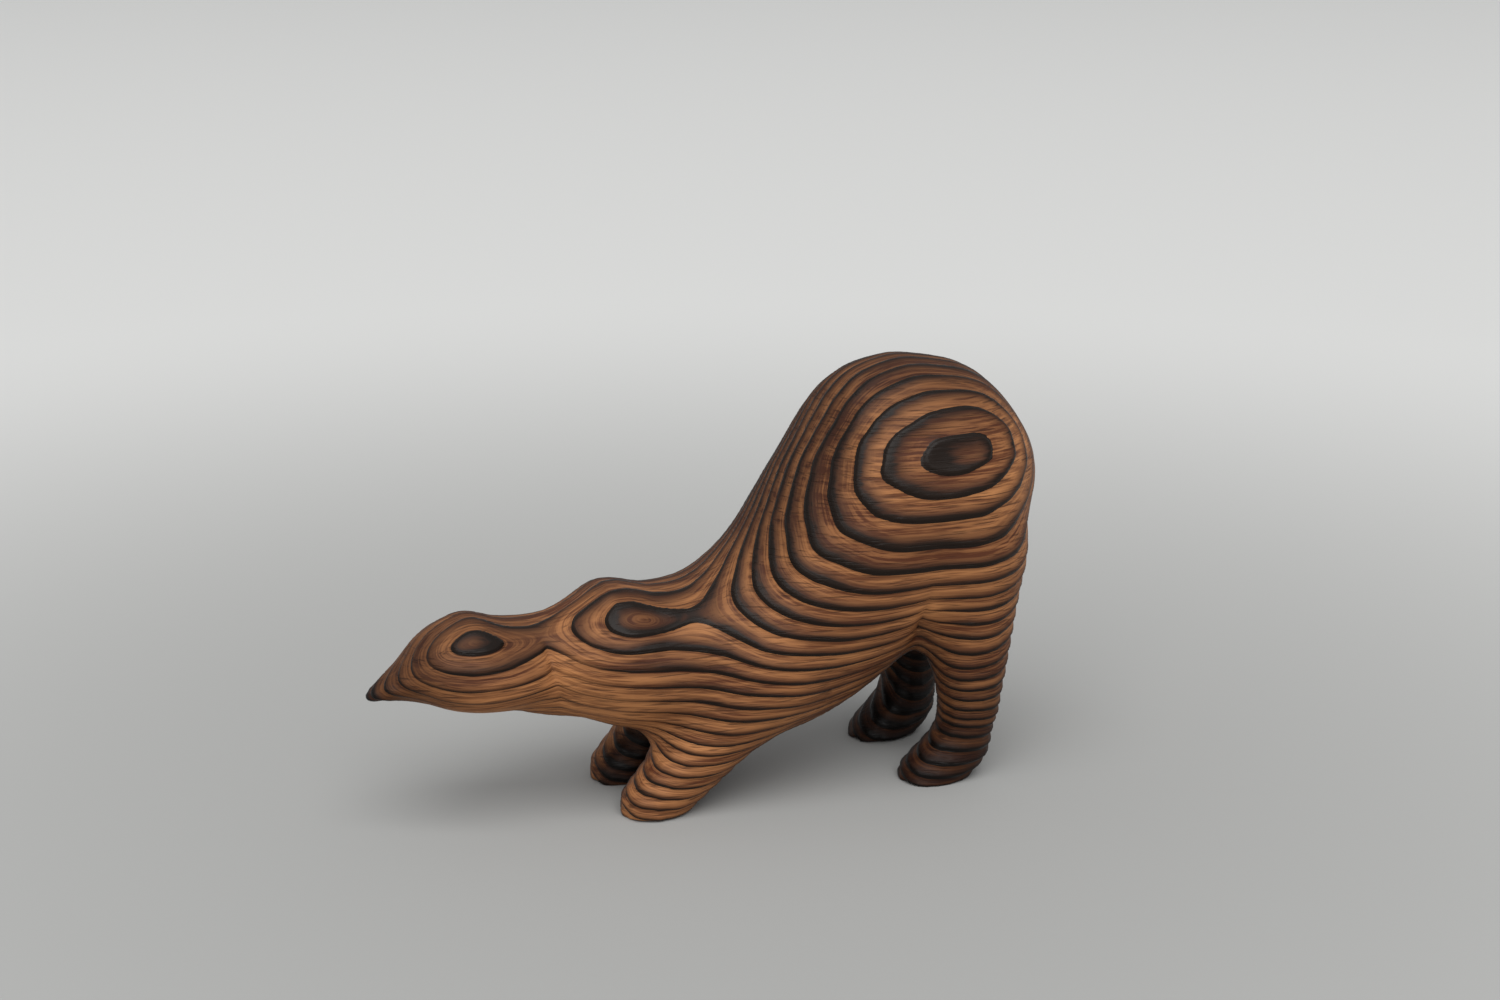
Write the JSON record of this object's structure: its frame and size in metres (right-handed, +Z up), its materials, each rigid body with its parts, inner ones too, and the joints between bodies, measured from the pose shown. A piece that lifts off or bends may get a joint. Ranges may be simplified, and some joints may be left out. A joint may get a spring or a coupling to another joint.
{
  "type": "badger figurine",
  "caption": "Carved wooden badger figurine standing on four short legs, head stretched low and rump high, burnt and brushed so that the growth rings stand out.",
  "frame": {"origin": "on the ground under the middle of the figurine's outline", "axes": "+X toward the nose, +Y toward the animal's left, +Z up"},
  "size_m": [0.0972, 0.035, 0.0601],
  "materials": {
    "burnt_softwood": "burnt, brushed and oiled, satin"
  },
  "bodies": {
    "root": {"trunk": "burnt_softwood", "head": "burnt_softwood", "left_foreleg": "burnt_softwood", "right_foreleg": "burnt_softwood", "left_hind_leg": "burnt_softwood", "right_hind_leg": "burnt_softwood"}
  },
  "joints": []
}
